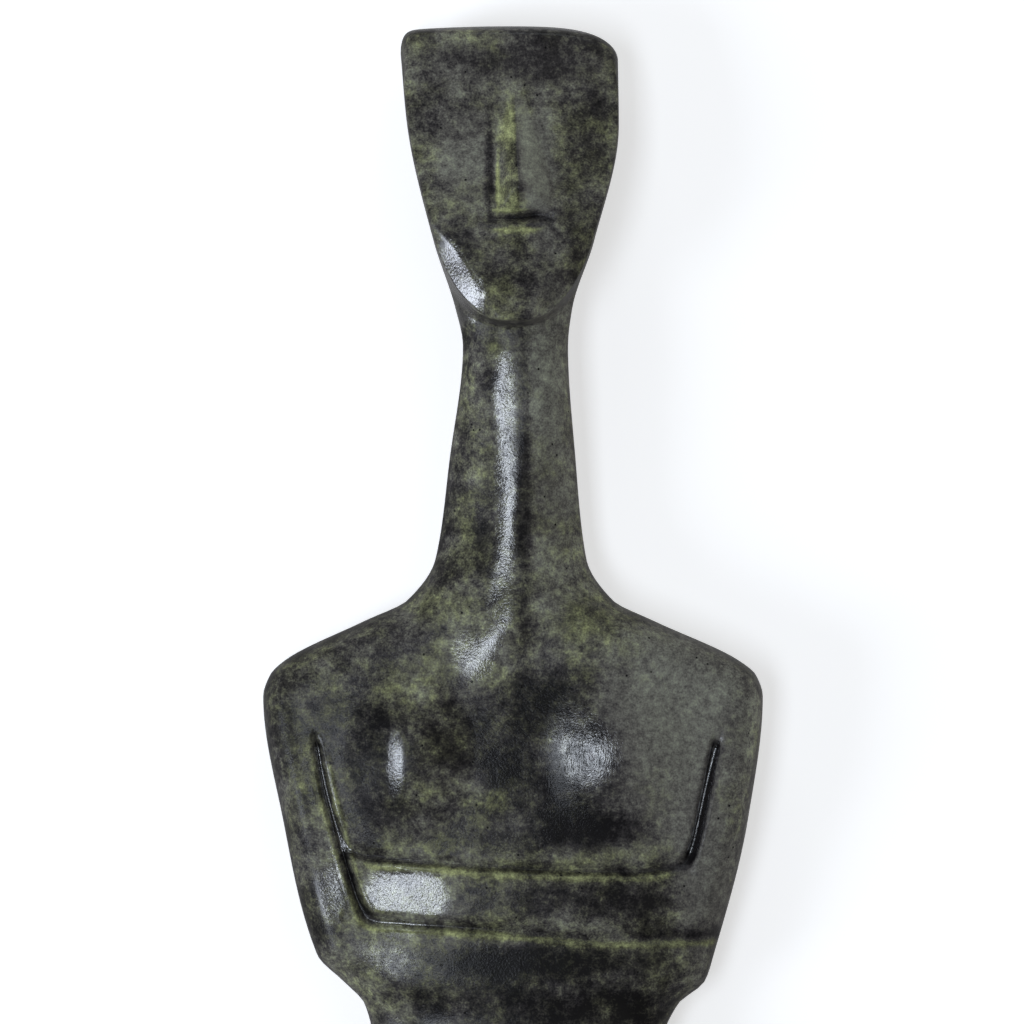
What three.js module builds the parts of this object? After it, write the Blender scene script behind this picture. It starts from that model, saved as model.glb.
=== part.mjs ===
// A folded-arm figurine of the Cycladic kind, cast in bronze as one solid piece.
//
// It has a shield-shaped head with a plain nose ridge, a long neck, sloping shoulders and flat
// forearms folded over the waist, the left one above the right. Its pointed feet can't carry it,
// so it lies on its back.
//
// Frame: millimetres, +Z up. The figurine lies on z = 0 with its face up and its head towards +Y.
// Its right arm is on the -X side. The origin is the middle of its footprint.
//
// The shape is two height fields, front and back, over one outline, which meet at a seam round the
// edge. "down" is the distance from the crown towards the toes, and "across" runs from -1 at the
// outline on its right side to 1 at the outline on its left side.

import * as THREE from "three";

// ---------------------------------------------------------------- driving dimensions

const LENGTH = 246; // crown to toe tips
const ROWS = 112; // mesh rows from crown to toes
const FRONT_COLUMNS = 28; // mesh columns across the front
const BACK_COLUMNS = 14; // mesh columns across the back

// Half widths of the outline: [down, on its right side, on its left side].
const OUTLINE = [
  [3.4, 13.6, 12.5], // temple
  [12, 12.8, 12.6],
  [26, 9.6, 9.6], // cheek
  [34, 7.0, 7.0], // nape, beside the chin
  [38.5, 6.1, 6.5], // throat
  [52, 7.7, 7.4],
  [64, 9.4, 8.7], // foot of the neck
  [69, 12.8, 11.9],
  [71.4, 17.8, 16.7],
  [76.2, 27.5, 27.0], // shoulder slope
  [78, 29.3, 29.1],
  [80.5, 30.1, 29.9], // shoulder
  [95.4, 27.7, 28.1], // upper arm
  [111.6, 23.6, 24.0], // right elbow
  [114.8, 20.4, 22.9], // left elbow
  [117.5, 17.9, 19.7],
  [122, 16.9, 17.9], // waist
  [142, 19.8, 19.9], // hips
  [165, 18.0, 18.0], // thigh
  [189, 13.9, 13.9], // knee
  [204, 13.6, 13.6], // calf
  [228, 8.8, 8.8], // ankle
  [240, 10.9, 10.9], // ball of the foot
  [246, 9.6, 9.6], // toes
];

// Heights above the ground along the middle, and the height of the seam at the outline.
const FRONT = [
  [0, 8], // forehead, under the face
  [38, 13.0], // throat
  [64, 13.3],
  [74, 13.7],
  [87, 14.5], // chest
  [100, 13.8],
  [121, 12.7], // waist
  [132, 13.0], // belly
  [146, 12.4],
  [166, 13.2], // thigh
  [186, 13.8], // knee
  [206, 11.4], // shin
  [229, 9.2], // ankle
  [243, 14.0], // toes
  [246, 13.6],
];
const BACK = [
  [0, 3.2], // crown
  [7, 0], // back of the head
  [12, 0],
  [38, 3.6], // nape
  [52, 3.2],
  [79, 0], // shoulder blades
  [106, 0],
  [121, 1.4], // small of the back
  [138, 0], // buttocks
  [150, 0],
  [168, 1.8],
  [190, 3.0], // hollow of the knee
  [206, 1.2], // calf
  [222, 1.6],
  [231, 0], // heel
  [234, 0.4],
  [246, 11.0], // sole, up to the toes
];
const SEAM = [
  [0, 5.4],
  [26, 9.0],
  [40, 8.2],
  [78, 6.6],
  [112, 6.2],
  [145, 6.0],
  [188, 8.0],
  [226, 5.4],
  [246, 12.2],
];

// How far in from the outline the front and the back reach their full height, and how gently the
// curve between lands there: 2 is an ellipse, less leaves a ridge, more is softer.
const FRONT_EDGE = [
  [0, 1.2, 2.1],
  [24, 1.0, 2.1],
  [38, 6.2, 2.0],
  [48, 7.2, 1.75],
  [62, 8.4, 1.72],
  [66, 8.4, 2.3],
  [71, 7.4, 4.0],
  [76, 7.0, 5.5],
  [111, 7.4, 5.5],
  [117, 8.0, 4.5],
  [124, 9.6, 2.8],
  [146, 10.4, 2.2],
  [190, 6.8, 2.0],
  [228, 4.4, 2.0],
  [246, 3.6, 2.2],
];
const BACK_EDGE = [
  [0, 5.0, 2.4],
  [26, 8.0, 2.2],
  [38, 6.2, 2.0],
  [64, 9.2, 2.0],
  [84, 9.0, 2.8],
  [140, 10.4, 2.4],
  [190, 6.8, 2.0],
  [228, 4.4, 2.0],
  [246, 3.6, 2.2],
];
// How much lower the front is at the outline's edge zone than along the middle, as a share.
const FRONT_CAMBER = [
  [64, 0],
  [80, 0.2],
  [95, 0.22],
  [103, 0.4],
  [116, 0.34],
  [150, 0.1],
];

// The crown is a low arc with a sharp corner on its right and a round one on its left.
const CROWN = {
  sag: 0.5,
  right: { height: 2.7, power: 24 },
  left: { height: 3.7, power: 4 },
  reach: 12, // the rows of the mesh follow the crown this far down
};

// The toes end in two lobes with a notch between the feet.
const TOES = {
  notch: 4.5,
  notchWidth: 0.11,
  corner: 3.4,
  power: 5,
  reach: 16,
};

// The face is a shield whose lower edge is the jaw. The jaw's edge stands proud of the neck.
const FACE = {
  brow: 10.6, // height of its plane at the crown
  tilt: 0.225, // rise of its plane towards the chin
  camber: 0.006,
  chin: 35.6, // how far down the chin is
  jawRise: 8.6, // how much higher the jaw is where it reaches the outline
  jawPower: 2.63,
  jawHalfWidth: 9.2,
  // [down, width] of the rounding at the outline: wider at the crown than beside the cheeks
  edge: [
    [0, 1.5],
    [4, 1.1],
    [8, 0.3],
    [40, 0.3],
  ],
  edgeLanding: 2.8,
  wall: 0.9, // how far out from the jaw line the jaw drops to the neck
  // A facet along each side of the jaw. It dies out up the cheek and at the middle of the chin.
  bevel: { width: 3.3, drop: 1.7, power: 1.45, cheek: [21.5, 29], chin: [1.6, 3.8] },
  rowsFrom: 12, // the rows of the mesh bend to follow the jaw between these
  rowsTo: 66,
};

// The neck's ridge leans to its left, and runs out on the chest, bending to its right.
const NECK_RIDGE = { lean: 0.1, height: 0.55, width: 2.6, from: 62, full: 72, to: 81, bend: 6 };

const NOSE = {
  top: 8,
  tip: 19.6,
  base: 22.8,
  centre: 0.6,
  topWidth: 1.2,
  rightWidth: 2.5,
  leftWidth: 4.2,
  height: 2.9,
  rounding: 0.3,
};

const MOUTH = { down: 23.4, centre: 0.3, halfWidth: 4.5, halfHeight: 0.5, depth: 1.1 };

const BREASTS = [
  { across: -12.8, down: 87.6, halfWidth: 8.4, halfLength: 10.8, height: 1.6 },
  { across: 11.6, down: 87.0, halfWidth: 9.8, halfLength: 10.8, height: 1.4 },
];

// The arms are marked off by two bent grooves. Each runs down inside an upper arm and then turns
// across the body, along the top of that arm's forearm.
const GROOVE = { width: 0.7, depth: 1.0, corner: 1.6, start: 85.2 };
const RIGHT_ARM = {
  level: 0.45,
  // [down, across] of the groove inside the upper arm
  inner: [
    [85.2, -23.6],
    [91, -22.6],
    [100, -20.2],
    [107.2, -18.2],
  ],
  // [across, down] of the groove along the forearm
  upper: [
    [-18.4, 107.3],
    [-10, 107.6],
    [0, 108.3],
    [12, 109.2],
    [24, 109.0],
  ],
};
const LEFT_ARM = {
  level: 0.75,
  inner: [
    [85.2, 24.4],
    [96.8, 22.1],
    [101.4, 21.3],
  ],
  upper: [
    [-19.6, 99.6],
    [-10, 100.3],
    [0, 100.9],
    [14, 101.4],
    [21, 100.8],
  ],
};
const FOREARMS_END = { down: 117, drop: 0.25, width: 6 };
const SHOULDER_FADE = { from: 83, to: 94 }; // the arms rise out of the shoulders between these

// Where the mesh's rows and columns bend to run along the forearms and the upper arms.
const ARM_MESH = { slant: 1.3, turns: 2.6, from: 88, full: 98, until: 112, to: 120, column: 0.77 };

// The cleft between the legs, as a share of the height over the seam.
const FRONT_CLEFT = [
  [149, 0],
  [156, 0.4],
  [172, 0.62],
  [222, 0.8],
  [238, 0.55],
  [246, 0.4],
];
const BACK_CLEFT = [
  [132, 0],
  [146, 0.42],
  [172, 0.62],
  [222, 0.8],
  [236, 0.5],
  [246, 0.3],
];
// A shallow V from hip to hip. The mesh's rows bend to follow it between from and to.
const GROIN = { hip: 18.4, rise: 13.5, apex: 151.5, width: 1.1, depth: 0.6, from: 126, to: 178 };
const SPINE = { from: 102, full: 116, until: 128, to: 140, width: 1.5, depth: 0.8 };

// ---------------------------------------------------------------- small maths

const clamp = (t) => Math.min(1, Math.max(0, t));
const mix = (a, b, t) => a + (b - a) * t;

function smoothstep(from, to, value) {
  const t = clamp((value - from) / (to - from));
  return t * t * (3 - 2 * t);
}

const bell = (value, width) => Math.exp(-((value / width) ** 2));

// A smooth curve through rows of [place, value, ...] that never overshoots them.
function through(rows, column = 1) {
  const at = rows.map((row) => row[0]);
  const value = rows.map((row) => row[column]);
  const last = rows.length - 1;
  const slope = at.slice(1).map((p, i) => (value[i + 1] - value[i]) / (p - at[i]));
  const tangent = value.map((_, i) => {
    if (i === 0) return slope[0];
    if (i === last) return slope[last - 1];
    const [before, after] = [slope[i - 1], slope[i]];
    return before * after <= 0 ? 0 : (2 * before * after) / (before + after);
  });
  return (place) => {
    if (place <= at[0]) return value[0];
    if (place >= at[last]) return value[last];
    const i = at.findIndex((p) => p > place) - 1;
    const step = at[i + 1] - at[i];
    const t = (place - at[i]) / step;
    const rise = tangent[i] * step * t * (1 - t) ** 2 - tangent[i + 1] * step * t * t * (1 - t);
    return mix(value[i], value[i + 1], t * t * (3 - 2 * t)) + rise;
  };
}

// The larger of two heights, with the corner between them rounded over about k.
function roundedMax(a, b, k) {
  return (a + b + Math.hypot(a - b, k)) / 2;
}

// The rise of a rounded edge, from 0 at the outline to 1.
function roundEdge(t, landing = 2) {
  return (1 - (1 - clamp(t)) ** landing) ** (1 / Math.min(landing, 2));
}

// Rises from 0 to 1 at the peak and falls back to 0.
function hill(from, peak, to, value) {
  return value < peak ? smoothstep(from, peak, value) : smoothstep(to, peak, value);
}

// count + 1 places from one end to the other, closer together where density is high.
function spaced(count, from, to, density) {
  const samples = 4000;
  const step = (to - from) / samples;
  const sums = [0];
  for (let i = 0; i < samples; i++) sums.push(sums[i] + density(from + (i + 0.5) * step));
  const places = [];
  let i = 0;
  for (let k = 0; k <= count; k++) {
    const wanted = (sums[samples] * k) / count;
    while (i < samples - 1 && sums[i + 1] < wanted) i++;
    places.push(from + (i + (wanted - sums[i]) / (sums[i + 1] - sums[i])) * step);
  }
  return places;
}

// ---------------------------------------------------------------- outline

const rightSide = through(OUTLINE, 1);
const leftSide = through(OUTLINE, 2);
const rightInner = through(RIGHT_ARM.inner);
const rightUpper = through(RIGHT_ARM.upper);
const leftInner = through(LEFT_ARM.inner);
const leftUpper = through(LEFT_ARM.upper);

function crownDrop(across) {
  const corner = across < 0 ? CROWN.right : CROWN.left;
  const turn = 1 - Math.sqrt(Math.max(0, 1 - Math.abs(across) ** corner.power));
  return CROWN.sag * across ** 2 + corner.height * turn;
}

function toeRise(across) {
  const turn = 1 - Math.sqrt(Math.max(0, 1 - Math.abs(across) ** TOES.power));
  return TOES.notch * bell(across, TOES.notchWidth) + TOES.corner * turn;
}

// The rows of the mesh are straight, except that they follow the crown, the jaw, the forearms, the
// groin and the toes.
function rowDown(across, row) {
  const crown = crownDrop(across) * (1 - smoothstep(0, CROWN.reach, row));
  const jaw =
    FACE.jawRise * Math.abs(across) ** FACE.jawPower * hill(FACE.rowsFrom, FACE.chin, FACE.rowsTo, row);
  const forearms = ARM_MESH.slant * Math.sin(ARM_MESH.turns * across) * alongArms(row);
  const hips = GROIN.rise * Math.abs(across) * hill(GROIN.from, GROIN.apex, GROIN.to, row);
  const toes = toeRise(across) * smoothstep(LENGTH - TOES.reach, LENGTH, row);
  return row + crown - jaw + forearms - hips - toes;
}

function alongArms(row) {
  return (
    smoothstep(ARM_MESH.from, ARM_MESH.full, row) * (1 - smoothstep(ARM_MESH.until, ARM_MESH.to, row))
  );
}

// The columns of the mesh keep their share of the width, except beside the upper arms, where they
// lean to run along the arm grooves.
function leaned(across, row) {
  const right = -rightInner(row) / rightSide(row);
  const left = leftInner(row) / leftSide(row);
  const lean =
    across < 0
      ? (ARM_MESH.column - right) * bell(across + ARM_MESH.column, 0.13)
      : (left - ARM_MESH.column) * bell(across - ARM_MESH.column, 0.13);
  return across + lean * smoothstep(66, 84, row) * (1 - smoothstep(108, 126, row));
}

// The point at a share across a row, as [x, down].
function planPoint(across, row) {
  const right = -rightSide(rowDown(-1, row));
  const left = leftSide(rowDown(1, row));
  return [mix(right, left, (leaned(across, row) + 1) / 2), rowDown(across, row)];
}

// The outline as a closed loop of points: crown, its left side, toes, its right side.
function outlineLoop(side = 240, end = 80) {
  const loop = [];
  const steps = (count, from, to, point) => {
    for (let i = 0; i < count; i++) loop.push(point(mix(from, to, i / count)));
  };
  steps(end, -1, 1, (across) => planPoint(across, 0));
  steps(side, 0, LENGTH, (row) => planPoint(1, row));
  steps(end, 1, -1, (across) => planPoint(across, LENGTH));
  steps(side, LENGTH, 0, (row) => planPoint(-1, row));
  return loop;
}

const LOOP = outlineLoop();

function distanceToOutline(x, down) {
  let least = Infinity;
  for (let i = 0; i < LOOP.length; i++) {
    const [ax, ay] = LOOP[i];
    const [bx, by] = LOOP[(i + 1) % LOOP.length];
    const [dx, dy] = [bx - ax, by - ay];
    const t = clamp(((x - ax) * dx + (down - ay) * dy) / (dx * dx + dy * dy));
    least = Math.min(least, Math.hypot(x - ax - t * dx, down - ay - t * dy));
  }
  return least;
}

// ---------------------------------------------------------------- heights

const frontAlong = through(FRONT);
const backAlong = through(BACK);
const seamAlong = through(SEAM);
const frontEdge = through(FRONT_EDGE);
const frontLanding = through(FRONT_EDGE, 2);
const faceEdge = through(FACE.edge);
const backEdge = through(BACK_EDGE);
const backLanding = through(BACK_EDGE, 2);
const frontCamber = through(FRONT_CAMBER);
const frontCleft = through(FRONT_CLEFT);
const backCleft = through(BACK_CLEFT);

function halfWidth(down) {
  return (rightSide(down) + leftSide(down)) / 2;
}

// What is left of the height beside the cleft between the legs.
function besideCleft(x, down, share) {
  return 1 - share * (1 - roundEdge(Math.abs(x) / (halfWidth(down) / 2)));
}

function bodyFront(x, down, inward) {
  const seam = seamAlong(down);
  const camber = 1 - frontCamber(down) * (x / halfWidth(down)) ** 2;
  const rise = roundEdge(inward / frontEdge(down), frontLanding(down));
  const height = (frontAlong(down) - seam) * camber * rise;
  const lean = NECK_RIDGE.lean * x * clamp(inward / 6) * hill(30, 50, 84, down);
  return seam + height * besideCleft(x, down, frontCleft(down)) + lean;
}

function jawLine(x) {
  return FACE.chin - FACE.jawRise * Math.abs(x / FACE.jawHalfWidth) ** FACE.jawPower;
}

// Distance up from the jaw line into the face, below 0 outside it.
function insideJaw(x, down) {
  const steepness =
    ((FACE.jawRise * FACE.jawPower) / FACE.jawHalfWidth) *
    Math.abs(x / FACE.jawHalfWidth) ** (FACE.jawPower - 1);
  return (jawLine(x) - down) / Math.hypot(1, steepness);
}

function facePlane(x, down, insideBy, inward) {
  const { width, drop, power, cheek, chin } = FACE.bevel;
  const share = smoothstep(...cheek, down) * mix(0.12, 1, smoothstep(...chin, Math.abs(x)));
  const facet = (1 - clamp(insideBy / (width * Math.max(share, 0.02)))) ** power;
  const plane = FACE.brow + FACE.tilt * down - FACE.camber * x * x - drop * share * facet;
  return mix(seamAlong(down), plane, roundEdge(inward / faceEdge(down), FACE.edgeLanding));
}

// The face over the neck: its bevelled shield, and a short wall from the jaw down to the neck.
function withFace(neck, x, down, inward) {
  const insideBy = insideJaw(x, down);
  if (insideBy >= 0) return facePlane(x, down, insideBy, inward);
  const t = clamp(-insideBy / FACE.wall);
  return mix(facePlane(x, Math.min(down, jawLine(x)), 0, inward), neck, 1 - (1 - t) ** 2);
}

function nose(x, down) {
  const above = clamp((down - NOSE.top) / (NOSE.tip - NOSE.top));
  const below = clamp((NOSE.base - down) / (NOSE.base - NOSE.tip));
  const aside = x - NOSE.centre * above;
  const width =
    aside < 0
      ? mix(NOSE.topWidth, NOSE.rightWidth, smoothstep(0.1, 0.6, above))
      : mix(NOSE.topWidth, NOSE.leftWidth, above);
  const flank = Math.max(0, 1 - Math.abs(aside) / width);
  const ridge = above ** 1.2 * flank * Math.sqrt(2 - flank);
  return NOSE.height * Math.max(0, -roundedMax(-ridge, -below, NOSE.rounding));
}

function mouth(x, down) {
  const t = (x - MOUTH.centre) / MOUTH.halfWidth;
  return -MOUTH.depth * Math.sqrt(Math.max(0, 1 - t * t)) * bell(down - MOUTH.down, MOUTH.halfHeight);
}

function breasts(x, down) {
  return BREASTS.reduce((sum, { across, down: middle, halfWidth: wide, halfLength: long, height }) => {
    const t = Math.min(1, Math.hypot((x - across) / wide, (down - middle) / long));
    return sum + height * (1 - t * t) ** 2;
  }, 0);
}

function collar(x, down) {
  const { height, width, from, full, to, bend } = NECK_RIDGE;
  const crest = NOSE.centre - bend * smoothstep(66, to, down);
  return height * bell(x - crest, width) * hill(from, full, to, down);
}

// The arms: how they stand over the chest and belly, and the grooves that mark them off.
function arms(x, down) {
  // Above 0 inside the right arm, and inside the chest panel that the arms frame.
  const inRightArm = roundedMax(down - rightUpper(x), rightInner(down) - x, GROOVE.corner);
  const inChest = -roundedMax(
    rightInner(down) - x,
    roundedMax(x - leftInner(down), down - leftUpper(x), GROOVE.corner),
    GROOVE.corner,
  );
  const rightArm = smoothstep(-0.5, 0.5, inRightArm);
  const chest = smoothstep(-0.5, 0.5, inChest);
  const level = mix(mix(LEFT_ARM.level, RIGHT_ARM.level, rightArm), 0, chest);
  const end = FOREARMS_END;
  const belly = smoothstep(end.down - end.width / 2, end.down + end.width / 2, down);
  const cut = Math.max(bell(inRightArm, GROOVE.width), bell(inChest, GROOVE.width));
  const started = smoothstep(GROOVE.start - 0.6, GROOVE.start + 1.4, down);
  const shown = smoothstep(SHOULDER_FADE.from, SHOULDER_FADE.to, down);
  return level * shown - (level + end.drop) * belly * shown - GROOVE.depth * cut * started * (1 - belly);
}

function groin(x, down) {
  const line = GROIN.apex - (GROIN.rise * Math.abs(x)) / GROIN.hip;
  return Math.abs(x) < GROIN.hip ? -GROIN.depth * bell(down - line, GROIN.width) : 0;
}

function frontHeight(x, down, inward) {
  let height = bodyFront(x, down, inward);
  if (down < FACE.chin + FACE.wall * 2) {
    height = withFace(height, x, down, inward) + nose(x, down) + mouth(x, down);
  }
  const settled = clamp(inward / 2.5); // nothing is cut or raised right at the seam
  const relief = down > GROOVE.start - 2 ? arms(x, down) : 0;
  return height + breasts(x, down) + collar(x, down) + (relief + groin(x, down)) * settled;
}

function backHeight(x, down, inward) {
  const seam = seamAlong(down);
  const edge = roundEdge(inward / backEdge(down), backLanding(down));
  const share = edge * besideCleft(x, down, backCleft(down));
  const spine =
    smoothstep(SPINE.from, SPINE.full, down) * (1 - smoothstep(SPINE.until, SPINE.to, down));
  return mix(seam, backAlong(down), share) + SPINE.depth * spine * bell(x, SPINE.width);
}

// ---------------------------------------------------------------- mesh

// Rows crowd together at the crown, nose, jaw, shoulders, forearms and toes.
function rowDensity(row) {
  return (
    0.33 +
    2.2 * bell(row, 3) +
    0.6 * bell(row - 21, 4) +
    2.2 * bell(row - FACE.chin, 1.8) +
    0.9 * bell(row - 74.5, 7.5) +
    1.5 * bell(row - 101, 1.8) +
    1.5 * bell(row - 108.8, 1.8) +
    0.5 * bell(row - 115, 4) +
    0.7 * bell(row - GROIN.apex, 3) +
    1.8 * bell(row - LENGTH, 4)
  );
}

// The rows of the mesh, one of them exactly along the jaw's edge.
function meshRows() {
  const rows = spaced(ROWS, 0, LENGTH, rowDensity);
  const offJaw = rows.map((row) => Math.abs(row - FACE.chin));
  rows[offJaw.indexOf(Math.min(...offJaw))] = FACE.chin;
  return rows;
}

// Columns crowd together at the edges, at the arm grooves and in the middle.
function columnDensity(across) {
  const edge = 0.34 / Math.sqrt(1.004 - across * across);
  const grooves = 2.4 * bell(Math.abs(across) - ARM_MESH.column, 0.05);
  return 0.5 + edge + grooves + 0.6 * bell(across, 0.16);
}

// One face of the figurine as a grid of points. Its border lies on the seam.
function heightGrid(columns, rows, heightAt) {
  return rows.map((row, j) =>
    columns.map((across, i) => {
      const [x, down] = planPoint(across, row);
      const onSeam = i === 0 || j === 0 || i === columns.length - 1 || j === rows.length - 1;
      const inward = onSeam ? 0 : distanceToOutline(x, down);
      const z = onSeam ? seamAlong(down) : heightAt(x, down, inward);
      return new THREE.Vector3(x, -down, z);
    }),
  );
}

// Triangles over a grid of points, each cell cut along its shorter diagonal.
function gridTriangles(grid, facingUp) {
  const triangles = [];
  for (let j = 0; j + 1 < grid.length; j++) {
    for (let i = 0; i + 1 < grid[j].length; i++) {
      const [a, b] = [grid[j][i], grid[j][i + 1]];
      const [c, d] = [grid[j + 1][i + 1], grid[j + 1][i]];
      const halves = a.distanceTo(c) < b.distanceTo(d) ? [[a, c, b], [a, d, c]] : [[a, d, b], [b, d, c]];
      for (const [p, q, r] of halves) triangles.push(...(facingUp ? [p, q, r] : [p, r, q]));
    }
  }
  return triangles;
}

function figurineGeometry() {
  const rows = meshRows();
  const frontColumns = spaced(FRONT_COLUMNS, -1, 1, columnDensity);
  const backColumns = frontColumns.filter((_, i) => i % (FRONT_COLUMNS / BACK_COLUMNS) === 0);
  const front = heightGrid(frontColumns, rows, frontHeight);
  const back = heightGrid(frontColumns, rows, backHeight);
  const triangles = [
    ...gridTriangles(front, true),
    ...coarseBack(back, frontColumns, backColumns),
  ];
  const geometry = new THREE.BufferGeometry().setFromPoints(triangles);
  geometry.computeBoundingBox();
  const middle = geometry.boundingBox.getCenter(new THREE.Vector3());
  geometry.translate(-middle.x, -middle.y, -geometry.boundingBox.min.z);
  geometry.computeVertexNormals();
  return geometry;
}

// The back's triangles, on every second column. Its first and last rows lie on the seam, where the
// front has all the columns, so each cell there fans onto the column between as well.
function coarseBack(grid, allColumns, keptColumns) {
  const kept = keptColumns.map((across) => allColumns.indexOf(across));
  const inner = grid.slice(1, -1).map((line) => kept.map((i) => line[i]));
  const triangles = gridTriangles(inner, false);
  const joinToSeam = (seam, line, facingUp) => {
    for (let k = 0; k + 1 < kept.length; k++) {
      const [p, q, r] = [seam[kept[k]], seam[kept[k] + 1], seam[kept[k + 1]]];
      const [a, b] = [line[k], line[k + 1]];
      for (const [u, v, w] of [[p, a, q], [q, a, b], [q, b, r]]) {
        triangles.push(...(facingUp ? [u, v, w] : [u, w, v]));
      }
    }
  };
  joinToSeam(grid[0], inner[0], false);
  joinToSeam(grid.at(-1), inner.at(-1), true);
  return triangles;
}

// ---------------------------------------------------------------- the object

const bronze = new THREE.MeshStandardMaterial({ color: 0x2a2c22, roughness: 0.42, metalness: 0.35 });

const figurine = new THREE.Mesh(figurineGeometry(), bronze);
figurine.name = "figurine";

const part = new THREE.Group();
part.add(figurine);

export default part;
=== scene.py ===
"""The looks of a cast bronze figurine of the Cycladic kind, lying on its back.

One fine mesh stands for the CAD solid. It has the same outline, profiles and carving, worked out
from the same sizes, with the finer relief added: the groove lips, toes, casting waves and pits.
The bronze has a dark waxed patina, mottled with olive green that is brightest in the hollows.
Shade is painted darker into the grooves, the mouth and round the nose, and sheen is painted
paler onto the nose's ridge and the left sides of the nose and neck. A dark reflection is
painted beside the neck's highlight.

Shape functions work in millimetres. "down" is the distance from the crown towards the toes, "x" is
towards the figurine's left side, and "across" runs from -1 to 1 between the outline's two sides.
"""

import math

import bpy
import numpy as np
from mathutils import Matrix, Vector


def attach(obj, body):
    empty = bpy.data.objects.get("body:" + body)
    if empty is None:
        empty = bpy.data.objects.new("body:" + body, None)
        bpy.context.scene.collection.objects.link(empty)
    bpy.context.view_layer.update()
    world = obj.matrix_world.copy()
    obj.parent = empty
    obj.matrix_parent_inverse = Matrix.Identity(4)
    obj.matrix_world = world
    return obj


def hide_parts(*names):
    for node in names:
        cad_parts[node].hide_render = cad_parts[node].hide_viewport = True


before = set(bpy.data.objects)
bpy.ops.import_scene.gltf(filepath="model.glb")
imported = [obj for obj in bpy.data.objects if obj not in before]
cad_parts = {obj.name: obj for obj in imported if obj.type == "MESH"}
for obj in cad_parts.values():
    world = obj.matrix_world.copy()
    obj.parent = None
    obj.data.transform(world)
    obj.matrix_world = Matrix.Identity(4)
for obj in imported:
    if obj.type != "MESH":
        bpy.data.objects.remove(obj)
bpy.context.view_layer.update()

# ---------------------------------------------------------------- sizes, in millimetres

LENGTH = 246.0
ROWS = 296
COLUMNS = 240
BACK_STEP = 3  # the back keeps every third column
TRIM = 0.9999  # of the CAD's outline, so that the finer mesh stays inside the CAD's facets

# down, half-width on its right, half-width on its left
OUTLINE = [
    (3.4, 13.6, 12.5), (12, 12.8, 12.6), (26, 9.6, 9.6), (34, 7.0, 7.0), (38.5, 6.1, 6.5),
    (52, 7.7, 7.4), (64, 9.4, 8.7), (69, 12.8, 11.9), (71.4, 17.8, 16.7), (76.2, 27.5, 27.0),
    (78, 29.3, 29.1), (80.5, 30.1, 29.9),
    (95.4, 27.7, 28.1), (111.6, 23.6, 24.0), (114.8, 20.4, 22.9), (117.5, 17.9, 19.7),
    (122, 16.9, 17.9), (142, 19.8, 19.9), (165, 18.0, 18.0), (189, 13.9, 13.9),
    (204, 13.6, 13.6), (228, 8.8, 8.8), (240, 10.9, 10.9), (246, 9.6, 9.6),
]
# down, height of the front, of the back, and of the seam where they meet at the outline
FRONT = [
    (0, 8), (38, 13.0), (64, 13.3), (74, 13.7), (87, 14.5), (100, 13.8), (121, 12.7), (132, 13.0),
    (146, 12.4), (166, 13.2), (186, 13.8), (206, 11.4), (229, 9.2), (243, 14.0), (246, 13.6),
]
BACK = [
    (0, 3.2), (7, 0), (12, 0), (38, 3.6), (52, 3.2), (79, 0), (106, 0), (121, 1.4), (138, 0),
    (150, 0), (168, 1.8), (190, 3.0), (206, 1.2), (222, 1.6), (231, 0), (234, 0.4), (246, 11.0),
]
SEAM = [
    (0, 5.4), (26, 9.0), (40, 8.2), (78, 6.6), (112, 6.2), (145, 6.0), (188, 8.0), (226, 5.4),
    (246, 12.2),
]
# down, reach of the rounding at the outline, and how softly it lands: 2 is an ellipse
FRONT_EDGE = [
    (0, 1.2, 2.1), (4, 1.1, 2.1), (8, 0.8, 2.1), (24, 0.9, 2.1), (38, 6.2, 2.0), (43, 5.3, 2.0),
    (52, 7.0, 1.8), (62, 8.4, 1.72), (66, 8.4, 2.3), (71, 7.4, 4.0), (76, 7.0, 5.5),
    (86, 7.4, 5.5), (111, 7.4, 5.5), (117, 8.0, 4.5), (124, 9.6, 2.8), (146, 10.4, 2.2),
    (190, 6.8, 2.0), (228, 4.4, 2.0), (246, 3.6, 2.2),
]
BACK_EDGE = [
    (0, 5.0, 2.4), (26, 8.0, 2.2), (38, 6.2, 2.0), (64, 9.2, 2.0), (84, 9.0, 2.8),
    (140, 10.4, 2.4), (190, 6.8, 2.0), (228, 4.4, 2.0), (246, 3.6, 2.2),
]
# down, share of the height lost at the outline, or in the cleft between the legs
FRONT_CAMBER = [(64, 0), (80, 0.2), (95, 0.22), (103, 0.4), (116, 0.34), (150, 0.1)]
FRONT_CLEFT = [(149, 0), (156, 0.4), (172, 0.62), (222, 0.8), (238, 0.55), (246, 0.4)]
BACK_CLEFT = [(132, 0), (146, 0.42), (172, 0.62), (222, 0.8), (236, 0.5), (246, 0.3)]

CROWN_SAG, CROWN_REACH = 0.5, 12.0
CROWN_RIGHT = (2.7, 24)  # corner height and power
CROWN_LEFT = (3.7, 4)
TOE_NOTCH, TOE_NOTCH_WIDTH, TOE_CORNER, TOE_POWER, TOE_REACH = 4.5, 0.11, 3.4, 5, 16.0

FACE_BROW, FACE_TILT, FACE_CAMBER, FACE_WALL = 10.5, 0.225, 0.006, 0.9
CHIN, JAW_RISE, JAW_POWER, JAW_HALF_WIDTH = 35.6, 8.6, 2.63, 9.2
BEVEL_WIDTH, BEVEL_DROP, BEVEL_POWER = 3.3, 1.7, 1.45
COLLAR_HEIGHT, COLLAR_WIDTH = 0.62, 3.2
COLLAR_FROM, COLLAR_FULL, COLLAR_TO = 62.0, 72.0, 81.0
COLLAR_X, COLLAR_BEND, COLLAR_BEND_FROM = 1.2, 6.0, 66.0
NECK_LEAN = 0.1  # the neck's ridge lies a little to its left

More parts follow.
